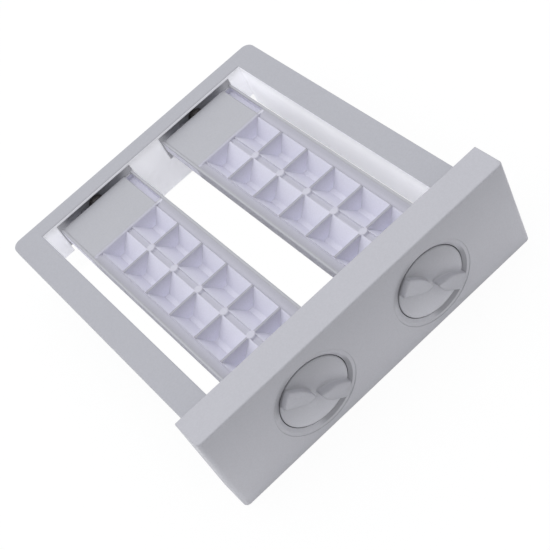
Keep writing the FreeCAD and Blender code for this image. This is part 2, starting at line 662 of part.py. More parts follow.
def deck_parts():
    """The raised deck behind the cells, and the walls of the groove at its right."""
    deck = box(-RIM_INNER - EPS, DECK_RIGHT, LAST_CELL_BACK, TRAY_BACK, CELL_TOP - TRAY_WALL, DECK_TOP)
    front = edges_where(deck, lambda e: (
        e.BoundBox.ZMin > DECK_TOP - EPS and e.BoundBox.YMax < LAST_CELL_BACK + EPS
    ))
    deck = deck.makeFillet(DECK_EDGE_RADIUS, front)
    under = GROOVE_FLOOR - TRAY_WALL
    groove_front = LAST_CELL_BACK + TRAY_WALL
    side = box(DECK_RIGHT - TRAY_WALL, DECK_RIGHT, groove_front, TRAY_BACK, under, CELL_TOP)
    floor = box(DECK_RIGHT, RIM_INNER + EPS, groove_front, TRAY_BACK, under, GROOVE_FLOOR)
    end = box(DECK_RIGHT, RIM_INNER + EPS, groove_front, groove_front + TRAY_WALL, under, CELL_TOP)
    return [deck, side, floor, end]


def tray(x):
    half = TRAY_HALF
    plate = box(-half, half, TRAY_FRONT, TRAY_BACK, CELL_TOP - TRAY_WALL, CELL_TOP)
    rims = []
    for sign in (-1, 1):
        x0, x1 = sorted((sign * RIM_INNER, sign * half))
        rims.append(rim_bar(x0, x1, TRAY_FRONT, TRAY_BACK, Y_AXIS))
    rims.append(rim_bar(-half, half, TRAY_FRONT, TRAY_FRONT + RIM_THICKNESS, X_AXIS))
    rims.append(box(-half, half, TRAY_BACK - TRAY_WALL, TRAY_BACK, RIM_BOTTOM, CELL_TOP))
    body = fuse([plate] + rims)

    shells, pockets = [], []
    wall = TRAY_WALL
    for sign in (-1, 1):
        for lower, upper in tray_cells(sign):
            pockets.append(frustum(lower, upper, CELL_FLOOR, CELL_TOP))
            grown_low = (lower[0] - wall, lower[1] + wall, lower[2] - wall, lower[3] + wall)
            grown_up = (upper[0] - wall, upper[1] + wall, upper[2] - wall, upper[3] + wall)
            shells.append(frustum(grown_low, grown_up, CELL_FLOOR - wall, CELL_TOP - wall / 2))
    body = fuse([body] + shells)

    grooves, shoulders = [], []
    low, under = CELL_TOP - SHOULDER_DROP, CELL_TOP - TRAY_WALL
    for sign in (-1, 1):
        x0, x1 = sorted((sign * CELL_OUTER_EDGE, sign * RIM_INNER))
        grooves.append(box(x0, x1, FIRST_CELL_FRONT, LAST_CELL_BACK, low, CELL_TOP + 1))
        points = [(CELL_OUTER_EDGE, low), (RIM_INNER, low + SHOULDER_RISE),
                  (RIM_INNER, under - TRAY_WALL), (CELL_OUTER_EDGE, under - TRAY_WALL)]
        points = [(sign * px, pz) for px, pz in points]
        shoulders.append(prism_y(points, FIRST_CELL_FRONT, LAST_CELL_BACK))
    body = body.cut(Part.makeCompound(grooves))
    body = fuse([body] + shoulders).cut(Part.makeCompound(pockets))

    saddle = CELL_TOP - SADDLE_DEPTH
    spine = box(-CELL_INNER_EDGE, CELL_INNER_EDGE, FIRST_CELL_FRONT, LAST_CELL_BACK,
                saddle - TRAY_WALL, saddle)
    body = body.cut(saddles())
    body = fuse([body, spine] + knots() + deck_parts())
    back_wall = TRAY_BACK - TRAY_WALL
    body = body.cut(box(DECK_RIGHT, RIM_INNER, LAST_CELL_BACK + 2 * TRAY_WALL, back_wall,
                        GROOVE_FLOOR, CELL_TOP + RIM_ABOVE_CELLS + 1))

    front_boss = rod(FRONT_BOSS_RADIUS, FRONT_BOSS_FRONT, TRAY_FRONT + EPS)
    socket_boss = rod(FRONT_BOSS_RADIUS, TRAY_FRONT, FIRST_CELL_FRONT - EPS)
    socket_boss = socket_boss.common(box(-half, half, 0, TRAY_BACK, 0, CELL_TOP))
    pin_boss = rod(PIN_BOSS_RADIUS, TRAY_BACK - PIN_GRIP - TRAY_WALL, TRAY_BACK)
    pin_boss = pin_boss.common(box(-half, half, 0, TRAY_BACK, 0, CELL_TOP))
    lug = sector(STOP_INNER_RADIUS, STOP_OUTER_RADIUS, LUG_LOW_ANGLE, LUG_HIGH_ANGLE,
                 TRAY_BACK - TRAY_WALL, TRAY_BACK + STOP_LUG_REACH, 0)
    apron = box(-STOP_OUTER_RADIUS - 2, STOP_OUTER_RADIUS + 2, back_wall, TRAY_BACK,
                AXIS_HEIGHT - STOP_OUTER_RADIUS, RIM_BOTTOM + 1)
    body = fuse([body, front_boss, socket_boss, pin_boss, apron, lug])
    socket = SPINDLE_SQUARE + SQUARE_CLEARANCE
    body = body.cut(square_bar(0, FRONT_BOSS_FRONT - 1, SOCKET_BACK, socket))
    body = body.cut(rod(PIN_RADIUS, TRAY_BACK - PIN_GRIP, TRAY_BACK + 1))
    body.translate(vec(x, 0, 0))
    return body


def export(shape, node):
    shape.translate(vec(0, -MIDDLE_Y, 0))
    shape.exportStep("parts/" + node + ".step")
    solids = len(shape.Solids)
    print(node, "solids", solids, "volume", round(shape.Volume), "valid", shape.isValid())


def main():
    os.makedirs("parts", exist_ok=True)
    export(frame_body(), "frame_body")
    export(front_panel(), "front_panel")
    export(panel_screws(), "panel_screws")
    for name, side in (("left", -1), ("right", 1)):
        x = side * HALF_SPACING
        export(knob(x), name + "_knob")
        export(spindle(x), name + "_drive_spindle")
        export(knob_washer(x), name + "_knob_washer")
        export(front_bush(x), name + "_front_bush")
        export(tray(x), name + "_ice_tray")
        export(pivot_pin(x), name + "_pivot_pin")
        export(rear_bush(x), name + "_rear_bush")
        export(pin_clip(x), name + "_pin_clip")
        export(torsion_spring(x), name + "_torsion_spring")


main()
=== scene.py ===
import math

import bpy
from mathutils import Matrix, Vector

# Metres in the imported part's frame: X right of the front panel, Y to the rear wall, Z up

# Camera, with its sensor width and focal length in millimetres
CAMERA_PLACE = (-0.15276, -0.59980, 0.64364)
CAMERA_RIGHT = (0.727281, -0.583612, -0.361191)
CAMERA_UP = (0.664298, 0.466268, 0.584211)
CAMERA_BACK = (-0.172540, -0.664824, 0.726800)
SENSOR_WIDTH = 36.0
FOCAL_LENGTH = 83.503
NEAR_LIMIT = 0.01
FAR_LIMIT = 20.0

# Light: a soft sky that is brightest above and behind the unit, with a weak broad key
SKY_TINT = (0.975, 0.985, 1.0)
SKY_BRIGHT_SIDE = (-0.10, 0.50, 0.86)
SKY_LOW = 0.42
SKY_HIGH = 1.30
SKY_FADE_START = -0.35
KEY_STRENGTH = 0.35
KEY_FROM = (-0.45, 0.30, 1.0)
KEY_SOFTNESS_DEGREES = 60.0

# Floor, and how far the camera sees it lifted to white: nearly, wholly and least in a slot
FLOOR_HALF = 3.0
FLOOR_COLOUR = (0.955, 0.955, 0.957)
FLOOR_GRAIN_SHADE = 0.998
FLOOR_GRAIN_PER_METRE = 40
FLOOR_LIFT = 0.93
OPENING_LIFT = 1.0
SLOT_LIFT = 0.55
SLOT_FADE = 0.004
SLOT_LEFT = 0.0915
SLOT_RIGHT = 0.112
SLOT_REACH = 0.040

# Colours of the pieces, among them painted light and shade
PANEL_COLOUR = (0.467, 0.465, 0.502)
# Painted light low on the panel's front and painted shade high on it
PANEL_LOW_PAINTED_LIGHT = (0.570, 0.567, 0.605)
PANEL_HIGH_PAINTED_SHADE = (0.424, 0.422, 0.455)
# Painted light low on the knobs' dished discs and painted shade high on them
DISC_LOW_PAINTED_LIGHT = (0.640, 0.638, 0.680)
DISC_HIGH_PAINTED_SHADE = (0.350, 0.348, 0.375)
# Painted shade for the wells round the knobs, the dish round them and the knobs' sides
PAINTED_WELL_SHADE = (0.10, 0.10, 0.11)
FRAME_COLOUR = (0.412, 0.413, 0.449)
# Painted light on the frame's inner walls: a paler colour, also used as a painted glow
INNER_WALL_PAINTED_LIGHT = (0.95, 0.95, 0.98)
# A lilac white that the cells' shades scale down; the cells come out much lighter than the deck,
# as painted light
TRAY_CELL_PAINTED_LIGHT = (0.884, 0.874, 0.995)
TRAY_TOP_COLOUR = (0.432, 0.433, 0.465)
BEARING_COLOUR = (0.42, 0.42, 0.43)
STEEL_COLOUR = (0.42, 0.42, 0.43)
SPRING_COLOUR = (0.12, 0.11, 0.11)
BLACK = (0.0, 0.0, 0.0)
WHITE = (1.0, 1.0, 1.0)

# Finish of each plastic: its roughness, the strength of its grain and its edge radius
PANEL_FINISH = (0.42, 0.25, 0.0008)
KNOB_FINISH = (0.38, 0.2, 0.0024)
FRAME_FINISH = (0.45, 0.25, 0.0008)
TRAY_FINISH = (0.40, 0.12, 0.0012)
BEARING_FINISH = (0.35, 0.1, 0.0003)
PLASTIC_IOR = 1.48
PLASTIC_SPECULAR = 0.4
CLOUDS_PER_METRE = 14
CLOUD_SHADE = (0.975, 0.975, 0.975)
SPECKS_PER_METRE = 900
SPECK_DARKNESS = 0.06
POLISH_MARKS_PER_METRE = 60
SMOOTHER_BY = 0.05
ROUGHER_BY = 0.06
GRAIN_PER_METRE = 2200
GRAIN_DEPTH = 0.00006
PLAIN_SHADE = 0.99
PLAIN_MARKS_PER_METRE = 35

# Finish of the metals: their marks are stretched where a factor is below one
STEEL_ROUGHNESS = 0.35
STEEL_STRETCH = (1.0, 0.05, 1.0)
SPRING_ROUGHNESS = 0.30
SPRING_STRETCH = (1.0, 1.0, 1.0)
METAL_MARKS_PER_METRE = 500
# Stains on the metals; their paler patches also stand for painted glints
METAL_STAINS_AND_GLINTS_PER_METRE = 300
STAIN_DARK = 0.6
STAIN_AND_GLINT_PALE = 1.15
METAL_SMOOTHER_BY = 0.1
METAL_ROUGHER_BY = 0.12
METAL_MARK_DEPTH = 0.00003
METAL_MARK_STRENGTH = 0.4
METAL_EDGE = 0.0001

# Front panel and knobs: measures, and where the painted light and shade on them start and stop
KNOB_GAP = 0.00055
DISH_DEPTH = 0.0020
PANEL_FACING = (-0.8, -0.3)
PANEL_MARGIN = 0.004
KNOB_MARGIN = 0.003
DISC_FADE = (0.0005, 0.0015)
# Painted shade in the dish round each knob: a soft halo at its upper left and a thin ring at its
# lower right
HALO_WIDTH = 0.0080
HALO_SLANT = (0.80, 0.99)
HALO_SHADE_STRENGTH = 0.75
RING_WIDTH = 0.0030
RING_SLANT = (-0.68, -0.40)
RING_SHADE_STRENGTH = 0.45
AXIS_GUARD = 0.0001

# Frame: measures, and where the painted light on the inner walls fades into painted shade
FLANGE_SIDE_WIDTH = 0.021
FLANGE_BACK_WIDTH = 0.0148
FRONT_WALL = 0.0032
RECESS_DEPTH = 0.0066
RECESS_DARK_HALF = 0.022
RECESS_END_SHADE = 0.55
FOOT_HEIGHT = 0.023
FOOT_FADE = 0.006
WALL_FACING = (0.3, 0.7)
WALL_FADE_START = 0.008
WALL_FADE_STOP = 0.001
WALL_TOP_SHADE = 0.75
WALL_PATCHES_PER_METRE = 30
WALL_PATCH_SHADE = 0.85
# Strength of the painted glow on the inner walls
INNER_WALL_PAINTED_GLOW = 0.27

# Trays: measures, the painted shades of the cells' painted light, and where one shade passes into
# the next
RIM_BELOW_FRAME_TOP = 0.0063
DECK_BELOW_RIM = 0.0004
CELLS_BELOW_RIM = 0.0014
CELL_DEPTH = 0.0125
CELL_OUTER_EDGE = 0.0257
KNOT_HALF = 0.0029
FRONT_SHELF_REACH = 0.0072
DECK_REACH = 0.0462
LUG_REACH = 0.0036
RIM_WIDTH = 0.0022
# Painted shade on the cells: dimmer ridge tops, saddles, knots, front-facing facets and shelves
CELL_SHADE = 0.78
RIDGE_SHADE = 0.42
SADDLE_SHADE = 0.55
SADDLE_BED_SHARE = 0.85
KNOT_SHADE = 0.63
FACET_LOW_SHADE = 0.98
FACET_HIGH_SHADE = 0.68
SHELF_INNER_SHADE = 0.58
SHELF_OUTER_SHADE = 0.45
FRONT_SHELF_SHADE = 0.52
TOP_FACING = (0.80, 0.92)
FACET_FACING = (-0.75, -0.45)
TROUGH_FADE = (0.0004, 0.0026)
CREST_START = 0.0012
CREST_STOP = 0.0006
FACET_STOP = 0.0010
SHELF_FADE = 0.0048
CELLS_FADE_START = 0.0010
CELLS_FADE_STOP = 0.0002
DECK_TOP_START = 0.0020
DECK_TOP_STOP = 0.0004
DECK_FADE = 0.0020

# Width of a crisp change of shade
EDGE = 0.0006

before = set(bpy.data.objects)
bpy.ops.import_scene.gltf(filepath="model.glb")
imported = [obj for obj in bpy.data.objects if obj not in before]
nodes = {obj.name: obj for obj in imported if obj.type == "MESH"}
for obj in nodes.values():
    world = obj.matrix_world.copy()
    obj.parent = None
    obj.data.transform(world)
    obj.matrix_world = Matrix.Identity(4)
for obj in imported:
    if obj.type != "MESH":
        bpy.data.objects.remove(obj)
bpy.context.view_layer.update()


def reach(name):
    """The lowest and highest corner of one node."""
    points = [Vector(corner) for corner in nodes[name].bound_box]
    low = [min(point[axis] for point in points) for axis in range(3)]
    high = [max(point[axis] for point in points) for axis in range(3)]
    return low, high


# Places that the shading follows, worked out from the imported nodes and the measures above
FRAME_LOW, FRAME_HIGH = reach("frame_body")
TRAY_LOW, TRAY_HIGH = reach("right_ice_tray")
KNOB_LOW, KNOB_HIGH = reach("right_knob")
PANEL_LOW, PANEL_HIGH = reach("front_panel")
FRAME_TOP = FRAME_HIGH[2]
OPENING_HALF = FRAME_HIGH[0] - FLANGE_SIDE_WIDTH
OPENING_FRONT = FRAME_LOW[1] + FRONT_WALL
OPENING_BACK = FRAME_HIGH[1] - FLANGE_BACK_WIDTH
TRAY_MIDDLE = (TRAY_LOW[0] + TRAY_HIGH[0]) / 2
TRAY_HALF = (TRAY_HIGH[0] - TRAY_LOW[0]) / 2
RIM_TOP = FRAME_TOP - RIM_BELOW_FRAME_TOP
DECK_TOP = RIM_TOP - DECK_BELOW_RIM
CELL_TOP = RIM_TOP - CELLS_BELOW_RIM
FIRST_CELL_FRONT = TRAY_LOW[1] + FRONT_SHELF_REACH
DECK_FRONT = TRAY_HIGH[1] - LUG_REACH - DECK_REACH
KNOB_MIDDLE = (KNOB_LOW[0] + KNOB_HIGH[0]) / 2
KNOB_HEIGHT = (KNOB_LOW[2] + KNOB_HIGH[2]) / 2
KNOB_RADIUS = (KNOB_HIGH[0] - KNOB_LOW[0]) / 2
WELL_RADIUS = KNOB_RADIUS + KNOB_GAP


class Shader:
    """A small helper that builds one procedural material."""

    def __init__(self, name):
        self.material = bpy.data.materials.new(name)
        self.material.use_nodes = True
        self.tree = self.material.node_tree
        self.tree.nodes.clear()
        self.out = self.add("ShaderNodeOutputMaterial")
        self.bsdf = self.add("ShaderNodeBsdfPrincipled")
        self.join(self.bsdf.outputs["BSDF"], self.out.inputs["Surface"])
        where = self.add("ShaderNodeTexCoord")
        self.place = where.outputs["Object"]
        self.facing = where.outputs["Normal"]

    def add(self, kind, **values):
        node = self.tree.nodes.new(kind)
        for key, value in values.items():
            setattr(node, key, value)
        return node

    def join(self, source, target):
        self.tree.links.new(source, target)

    def put(self, value, socket):
        """Set a socket from a number or from another node."""
        if isinstance(value, (int, float)):
            socket.default_value = value
        else:
            self.join(value, socket)

    def maths(self, operation, *values):
        node = self.add("ShaderNodeMath", operation=operation)
        for value, socket in zip(values, node.inputs):
            self.put(value, socket)
        return node.outputs["Value"]

    def axis(self, vector, letter):
        split = self.add("ShaderNodeSeparateXYZ")
        self.join(vector, split.inputs["Vector"])
        return split.outputs[letter]

    def size_of(self, value):
        """A number without its sign."""
        return self.maths("ABSOLUTE", value)

    def noise(self, per_metre, detail=3.0, rough=0.55, stretch=None):
        texture = self.add("ShaderNodeTexNoise")
        texture.inputs["Scale"].default_value = per_metre
        texture.inputs["Detail"].default_value = detail
        texture.inputs["Roughness"].default_value = rough
        where = self.place
        if stretch:
            mapping = self.add("ShaderNodeMapping")
            mapping.inputs["Scale"].default_value = stretch
            self.join(where, mapping.inputs["Vector"])
            where = mapping.outputs["Vector"]
        self.join(where, texture.inputs["Vector"])
        return texture.outputs["Fac"]

    def spread(self, value, low, high, start=0.3, stop=0.7, smooth=False):
        """A number that goes from low to high as the value goes from start to stop."""
        ramp = self.add("ShaderNodeMapRange")
        if smooth:
            ramp.interpolation_type = "SMOOTHSTEP"
        ramp.inputs["From Min"].default_value = start
        ramp.inputs["From Max"].default_value = stop
        ramp.inputs["To Min"].default_value = low
        ramp.inputs["To Max"].default_value = high
        self.join(value, ramp.inputs["Value"])
        return ramp.outputs["Result"]

    def slide(self, factor, first, second):
        """A number that goes from the first to the second as the factor goes from 0 to 1."""
        gap = self.maths("SUBTRACT", second, first)
        return self.maths("MULTIPLY_ADD", factor, gap, first)

    def all_of(self, *masks):
        """The product of the masks, which is high only where all of them are."""
        product = masks[0]
        for mask in masks[1:]:
            product = self.maths("MULTIPLY", product, mask)
        return product

    def within(self, value, low, high, fade):
        """One between two limits and nought outside them, with a fade at each."""
        rise = self.spread(value, 0.0, 1.0, low - fade, low + fade, smooth=True)
        fall = self.spread(value, 1.0, 0.0, high - fade, high + fade, smooth=True)
        return self.all_of(rise, fall)

    def mix(self, factor, first, second):
        """A colour that goes from the first to the second as the factor goes from 0 to 1."""
        blend = self.add("ShaderNodeMix", data_type="RGBA")
        self.put(factor, blend.inputs["Factor"])
        for socket, colour in ((blend.inputs["A"], first), (blend.inputs["B"], second)):
            if isinstance(colour, tuple):
                socket.default_value = (*colour, 1.0)
            else:
                self.join(colour, socket)
        return blend.outputs["Result"]

    def colour(self, source):
        self.join(source, self.bsdf.inputs["Base Color"])

    def roughness(self, source):
        self.join(source, self.bsdf.inputs["Roughness"])

    def relief(self, height, depth, strength, edge_radius):
        """Fine relief on the surface, with the edges softened by a radius."""
        edges = self.add("ShaderNodeBevel", samples=8)
        edges.inputs["Radius"].default_value = edge_radius
        bump = self.add("ShaderNodeBump")
        bump.inputs["Distance"].default_value = depth
        bump.inputs["Strength"].default_value = strength
        self.join(height, bump.inputs["Height"])
        self.join(edges.outputs["Normal"], bump.inputs["Normal"])
        self.join(bump.outputs["Normal"], self.bsdf.inputs["Normal"])


def tint(colour, factor):
    return tuple(channel * factor for channel in colour)


def moulded(shader, body, finish):
    """Finish a plastic: satin polish, faint flow marks, a fine grain and soft edges."""
    rough, grain, edge_radius = finish
    clouds = shader.spread(shader.noise(CLOUDS_PER_METRE, detail=4), 0.0, 1.0)
    specks = shader.spread(shader.noise(SPECKS_PER_METRE, detail=2), 0.0, SPECK_DARKNESS)
    shade = shader.mix(clouds, CLOUD_SHADE, WHITE)
    shade = shader.mix(specks, shade, BLACK)
    product = shader.add("ShaderNodeMix", data_type="RGBA", blend_type="MULTIPLY")
    product.inputs["Factor"].default_value = 1.0
    shader.join(body, product.inputs["A"])
    shader.join(shade, product.inputs["B"])
    shader.colour(product.outputs["Result"])
    polish = shader.noise(POLISH_MARKS_PER_METRE, detail=5)
    shader.roughness(shader.spread(polish, rough - SMOOTHER_BY, rough + ROUGHER_BY))
    shader.bsdf.inputs["IOR"].default_value = PLASTIC_IOR
    shader.bsdf.inputs["Specular IOR Level"].default_value = PLASTIC_SPECULAR
    shader.relief(shader.noise(GRAIN_PER_METRE, detail=2), GRAIN_DEPTH, grain, edge_radius)
    return shader.material


def plain_plastic(name, colour, finish):
    shader = Shader(name)
    marks = shader.spread(shader.noise(PLAIN_MARKS_PER_METRE), 0.0, 1.0)
    body = shader.mix(marks, tint(colour, PLAIN_SHADE), colour)
    return moulded(shader, body, finish)


def from_knob_axis(shader):
    """How far a point lies to the right of its knob's axis, above it and away from it."""
    x = shader.axis(shader.place, "X")
    side = shader.maths("SIGN", x)
    right = shader.maths("SUBTRACT", x, shader.all_of(side, KNOB_MIDDLE))
    up = shader.maths("SUBTRACT", shader.axis(shader.place, "Z"), KNOB_HEIGHT)
    square = shader.maths("MULTIPLY_ADD", right, right, shader.all_of(up, up))
    return right, up, shader.maths("SQRT", square)


def behind_panel_face(shader):
    """How far a point lies behind the foremost face of the front panel."""
    return shader.maths("SUBTRACT", shader.axis(shader.place, "Y"), PANEL_LOW[1])


def panel_plastic():
    """The front panel: painted light makes its front a little paler low down, and painted shade
    makes the wells dark and darkens the dish round them.
    """
    shader = Shader("panel_plastic")
    height = shader.axis(shader.place, "Z")
    depth = behind_panel_face(shader)
    forward = shader.spread(shader.axis(shader.facing, "Y"), 1.0, 0.0, *PANEL_FACING)
    # Painted light from below on the front face, paler low down, and painted shade, darker high up
    rise = shader.spread(height, 0.0, 1.0, PANEL_MARGIN, PANEL_HIGH[2] - PANEL_MARGIN)
    front = shader.mix(rise, PANEL_LOW_PAINTED_LIGHT, PANEL_HIGH_PAINTED_SHADE)
    body = shader.mix(forward, PANEL_COLOUR, front)

    # Painted shade in the dish round each knob and in the dark well between knob and panel
    right, up, away = from_knob_axis(shader)
    upper_left = shader.all_of(shader.maths("SUBTRACT", up, right), math.sqrt(0.5))
    slant = shader.maths("DIVIDE", upper_left, shader.maths("ADD", away, AXIS_GUARD))
    corner = shader.spread(slant, 0.0, 1.0, *HALO_SLANT, smooth=True)
    halo_shade = shader.within(away, WELL_RADIUS, KNOB_RADIUS + HALO_WIDTH / 2, HALO_WIDTH / 2)
    body = shader.mix(shader.all_of(corner, halo_shade, HALO_SHADE_STRENGTH), body, PAINTED_WELL_SHADE)
    lower = shader.spread(slant, 1.0, 0.0, *RING_SLANT, smooth=True)
    ring_shade = shader.within(away, WELL_RADIUS, KNOB_RADIUS + RING_WIDTH, EDGE / 2)
    body = shader.mix(shader.all_of(lower, ring_shade, RING_SHADE_STRENGTH), body, PAINTED_WELL_SHADE)
    well_shade = shader.all_of(
        shader.spread(away, 1.0, 0.0, WELL_RADIUS, WELL_RADIUS + EDGE / 3),
        shader.spread(depth, 0.0, 1.0, DISH_DEPTH, DISH_DEPTH + EDGE),
    )
    body = shader.mix(well_shade, body, PAINTED_WELL_SHADE)
    return moulded(shader, body, PANEL_FINISH)


def knob_plastic():
    """The knobs: painted light makes the dished disc paler towards its lower edge and painted
    shade makes it darker high up, and painted shade makes its side dark.
    """
    shader = Shader("knob_plastic")
    height = shader.axis(shader.place, "Z")
    depth = behind_panel_face(shader)
    # Painted light and shade on the disc: paler low, darker high, as a dish would be lit
    rise = shader.spread(
        height, 0.0, 1.0, KNOB_LOW[2] + KNOB_MARGIN, KNOB_HIGH[2] - KNOB_MARGIN
    )
    disc = shader.mix(rise, DISC_LOW_PAINTED_LIGHT, DISC_HIGH_PAINTED_SHADE)
    body = shader.mix(shader.spread(depth, 0.0, 1.0, *DISC_FADE), PANEL_COLOUR, disc)
    away = from_knob_axis(shader)[2]
    # Painted shade on the side of the disc
    side = shader.all_of(
        shader.spread(away, 0.0, 1.0, KNOB_RADIUS - EDGE / 2, KNOB_RADIUS - EDGE / 4),
        shader.spread(depth, 0.0, 1.0, DISH_DEPTH, DISH_DEPTH + EDGE),
    )
    body = shader.mix(side, body, PAINTED_WELL_SHADE)
    return moulded(shader, body, KNOB_FINISH)


def frame_plastic():
    """The frame: grey, with painted light on the upright walls round the opening, which are paler
    and glow weakly, and painted shade under the top and in the recesses.
    """
    shader = Shader("frame_plastic")
    across = shader.size_of(shader.axis(shader.place, "X"))
    along = shader.axis(shader.place, "Y")
    height = shader.axis(shader.place, "Z")
    inside = shader.all_of(
        shader.within(across, -OPENING_HALF, OPENING_HALF + EDGE, EDGE / 2),
        shader.within(along, OPENING_FRONT - EDGE, OPENING_BACK + RECESS_DEPTH + EDGE, EDGE / 2),
    )
    tilt = shader.size_of(shader.axis(shader.facing, "Z"))
    upright = shader.spread(tilt, 1.0, 0.0, *WALL_FACING)
    foot = shader.spread(height, 1.0, 0.0, FOOT_HEIGHT + EDGE, FOOT_HEIGHT + FOOT_FADE)
    upright = shader.maths("MAXIMUM", upright, foot)
    # Painted shade under the top of the walls, where the flange overhangs them
    shade_under_top = shader.spread(
        height, 1.0, WALL_TOP_SHADE, FRAME_TOP - WALL_FADE_START, FRAME_TOP - WALL_FADE_STOP,
        smooth=True,
    )
    off_middle = shader.size_of(shader.maths("SUBTRACT", across, TRAY_MIDDLE))
    # Painted shade in the recesses behind the decks, darkest behind each tray's middle
    recess_shade = shader.all_of(
        shader.spread(along, 0.0, 1.0, OPENING_BACK + EDGE / 2, OPENING_BACK + EDGE),
        shader.spread(off_middle, 1.0, RECESS_END_SHADE, RECESS_DARK_HALF, TRAY_HALF, smooth=True),
    )
    # Painted light on the upright inner walls, kept out of the top and the recesses
    painted_wall_light = shader.all_of(upright, inside, shade_under_top, shader.maths("SUBTRACT", 1.0, recess_shade))
    body = shader.mix(painted_wall_light, FRAME_COLOUR, INNER_WALL_PAINTED_LIGHT)
    patches = shader.spread(shader.noise(WALL_PATCHES_PER_METRE), WALL_PATCH_SHADE, 1.0)
    # Painted glow on those walls in uneven patches, though they are no lamp
    painted_glow = shader.all_of(painted_wall_light, patches, INNER_WALL_PAINTED_GLOW)
    shader.bsdf.inputs["Emission Color"].default_value = (*INNER_WALL_PAINTED_LIGHT, 1.0)
    shader.join(painted_glow, shader.bsdf.inputs["Emission Strength"])
    return moulded(shader, body, FRAME_FINISH)


def cell_shade(shader, off_middle, along, height):
    """The painted light and shade on the trays: how bright they are painted in their cells, on the
    ridges between them and on the shelves.
    """
    upward = shader.spread(shader.axis(shader.facing, "Z"), 0.0, 1.0, *TOP_FACING)
    forward = shader.spread(shader.axis(shader.facing, "Y"), 1.0, 0.0, *FACET_FACING)
    cells = shader.spread(
        along, 1.0, 0.0, DECK_FRONT - CELLS_FADE_START, DECK_FRONT + CELLS_FADE_STOP
    )
    column = shader.within(off_middle, KNOT_HALF, CELL_OUTER_EDGE + EDGE / 2, EDGE / 2)
    middle = shader.spread(off_middle, 1.0, 0.0, KNOT_HALF - EDGE / 2, KNOT_HALF + EDGE)
    trough = shader.spread(off_middle, 1.0, 0.0, *TROUGH_FADE)
    crest = shader.spread(height, 0.0, 1.0, CELL_TOP - CREST_START, CELL_TOP - CREST_STOP)
    shelf = shader.spread(off_middle, 0.0, 1.0, CELL_OUTER_EDGE, CELL_OUTER_EDGE + EDGE)
    front = shader.spread(along, 1.0, 0.0, FIRST_CELL_FRONT - EDGE, FIRST_CELL_FRONT)
    facet = shader.spread(
        height, FACET_LOW_SHADE, FACET_HIGH_SHADE, CELL_TOP - CELL_DEPTH, CELL_TOP - FACET_STOP
    )
    side_shelf = shader.spread(
        off_middle, SHELF_INNER_SHADE, SHELF_OUTER_SHADE,
        CELL_OUTER_EDGE, CELL_OUTER_EDGE + SHELF_FADE,
    )
    # Painted shade on saddles, knots, front-facing facets, ridge tops, shelves and the front shelf
    saddle = shader.slide(trough, CELL_SHADE * SADDLE_BED_SHARE, SADDLE_SHADE)
    saddle = shader.slide(crest, saddle, KNOT_SHADE)
    shade = shader.slide(shader.all_of(forward, cells), CELL_SHADE, facet)
    shade = shader.slide(shader.all_of(upward, crest, column, cells), shade, RIDGE_SHADE)
    shade = shader.slide(shader.all_of(upward, middle, cells), shade, saddle)
    shade = shader.slide(shader.all_of(shelf, cells), shade, side_shelf)
    return shader.slide(front, shade, FRONT_SHELF_SHADE)


def tray_plastic():
    """The trays: lilac white cells with painted light, painted shade that greys their ridges and
    shelves, and a grey deck and rim.
    """
    shader = Shader("tray_plastic")
    across = shader.size_of(shader.axis(shader.place, "X"))
    along = shader.axis(shader.place, "Y")
    height = shader.axis(shader.place, "Z")
    off_middle = shader.size_of(shader.maths("SUBTRACT", across, TRAY_MIDDLE))
    shade = cell_shade(shader, off_middle, along, height)
    # Painted light in the cells, as a fraction of the lilac white
    body = shader.mix(shade, BLACK, TRAY_CELL_PAINTED_LIGHT)

    top = shader.spread(
        height, 0.0, 1.0, DECK_TOP - DECK_TOP_START, DECK_TOP - DECK_TOP_STOP, smooth=True
    )
    behind = shader.spread(along, 0.0, 1.0, DECK_FRONT, DECK_FRONT + DECK_FADE, smooth=True)
    edge = shader.spread(off_middle, 0.0, 1.0, TRAY_HALF - RIM_WIDTH - EDGE, TRAY_HALF - RIM_WIDTH)
    grey = shader.all_of(top, shader.maths("MAXIMUM", behind, edge))
    body = shader.mix(grey, body, TRAY_TOP_COLOUR)
    return moulded(shader, body, TRAY_FINISH)


def metal(name, colour, rough, stretch):
    """Drawn or turned metal with fine marks, and stains whose paler patches also stand for painted
    glints.
    """
    shader = Shader(name)
    marks = shader.noise(METAL_MARKS_PER_METRE, detail=6, rough=0.7, stretch=stretch)
    stains_and_glints = shader.spread(shader.noise(METAL_STAINS_AND_GLINTS_PER_METRE), 0.0, 1.0)
    shader.colour(shader.mix(stains_and_glints, tint(colour, STAIN_DARK), tint(colour, STAIN_AND_GLINT_PALE)))
    shader.roughness(shader.spread(marks, rough - METAL_SMOOTHER_BY, rough + METAL_ROUGHER_BY))
    shader.bsdf.inputs["Metallic"].default_value = 1.0
    shader.relief(marks, METAL_MARK_DEPTH, METAL_MARK_STRENGTH, METAL_EDGE)
    return shader.material


bearing = plain_plastic("bearing_plastic", BEARING_COLOUR, BEARING_FINISH)
steel = metal("pin_steel", STEEL_COLOUR, STEEL_ROUGHNESS, STEEL_STRETCH)

LOOKS = {
    "front_panel": panel_plastic(),
    "frame_body": frame_plastic(),
    "panel_screws": steel,
    "knob": knob_plastic(),
    "ice_tray": tray_plastic(),
    "drive_spindle": bearing,
    "knob_washer": bearing,
    "front_bush": bearing,
    "rear_bush": bearing,
    "pivot_pin": steel,
    "pin_clip": steel,
    "torsion_spring": metal("spring_steel", SPRING_COLOUR, SPRING_ROUGHNESS, SPRING_STRETCH),
}

for name, node in nodes.items():
    plain = name.replace("left_", "").replace("right_", "")
    node.data.materials.clear()
    node.data.materials.append(LOOKS[plain])


